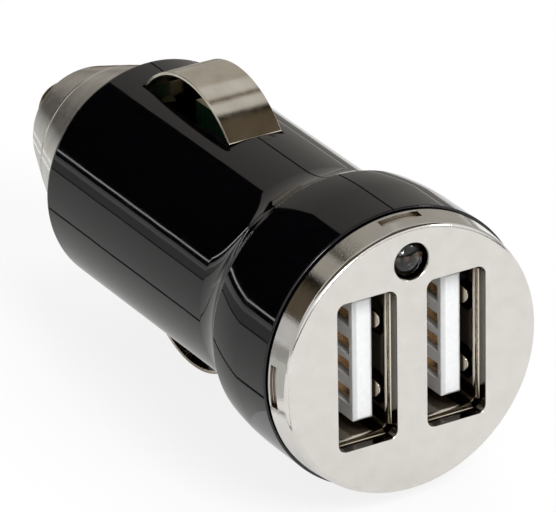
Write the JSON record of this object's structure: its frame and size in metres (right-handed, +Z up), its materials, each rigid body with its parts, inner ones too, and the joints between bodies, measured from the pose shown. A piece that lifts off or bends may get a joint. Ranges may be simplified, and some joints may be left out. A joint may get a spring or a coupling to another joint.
{
  "type": "car usb charger plug",
  "caption": "Car power socket plug with a gloss black housing, nickel face with USB-A sockets and a lamp, sprung side contacts and a metal nose with a sprung pin.",
  "frame": {"origin": "on the plug's axis, at the shoulder where the barrel starts", "axes": "+Y along the plug from its face to its nose, +Z up through the lamp and the top contact, +X to the right as one looks at the face"},
  "size_m": [0.0244, 0.059, 0.0266],
  "materials": {
    "gloss_black": "polished black moulding",
    "satin_nickel": "satin nickel plate",
    "bright_nickel": "bright nickel plate",
    "plated_nose": "turned nose, nickel plated",
    "white_insulator": "white moulded insulator",
    "gold_contact": "gold flashed contact",
    "clear_lens": "clear resin lamp",
    "board_green": "green lacquered board",
    "copper_winding": "enamelled copper wire",
    "ferrite": "pressed ferrite",
    "capacitor_can": "drawn aluminium can",
    "chip_black": "black moulding compound",
    "tinned_lead": "tinned copper",
    "ceramic_white": "ceramic body"
  },
  "bodies": {
    "housing": {"left_shell": "gloss_black", "right_shell": "gloss_black", "front_cap": "satin_nickel", "left_port_shell": "bright_nickel", "left_port_tongue": "white_insulator", "left_port_contacts": "gold_contact", "right_port_shell": "bright_nickel", "right_port_tongue": "white_insulator", "right_port_contacts": "gold_contact", "lamp_lens": "clear_lens", "lamp_leads": "tinned_lead", "port_board": "board_green", "board_pins": "tinned_lead", "main_board": "board_green", "nose_collar": "plated_nose", "nose_cap": "plated_nose", "tip_spring": "tinned_lead", "spring_terminal": "gold_contact", "inductor_core": "ferrite", "inductor_winding": "copper_winding", "input_capacitor": "capacitor_can", "output_capacitor": "capacitor_can", "capacitor_bases": "chip_black", "converter_chip": "chip_black", "chip_pins": "tinned_lead", "rectifier_diode": "chip_black", "diode_tabs": "tinned_lead", "input_fuse": "ceramic_white", "fuse_caps": "tinned_lead", "chip_resistors": "chip_black"},
    "tip": {"tip_contact": "bright_nickel"},
    "top_leaf": {"top_contact": "bright_nickel"},
    "bottom_leaf": {"bottom_contact": "bright_nickel"}
  },
  "joints": [
    {"name": "tip_slide", "type": "slide", "parent": "housing", "child": "tip", "axis": [0, 1, 0], "range_m": [-0.0015, 0], "stiffness_N_per_m": 1500, "deforming": ["tip_spring"]},
    {"name": "top_contact_flex", "type": "slide", "parent": "housing", "child": "top_leaf", "axis": [0, 0, 1], "range_m": [-0.0028, 0], "stiffness_N_per_m": 1500},
    {"name": "bottom_contact_flex", "type": "slide", "parent": "housing", "child": "bottom_leaf", "axis": [0, 0, 1], "range_m": [0, 0.0028], "stiffness_N_per_m": 1500}
  ]
}
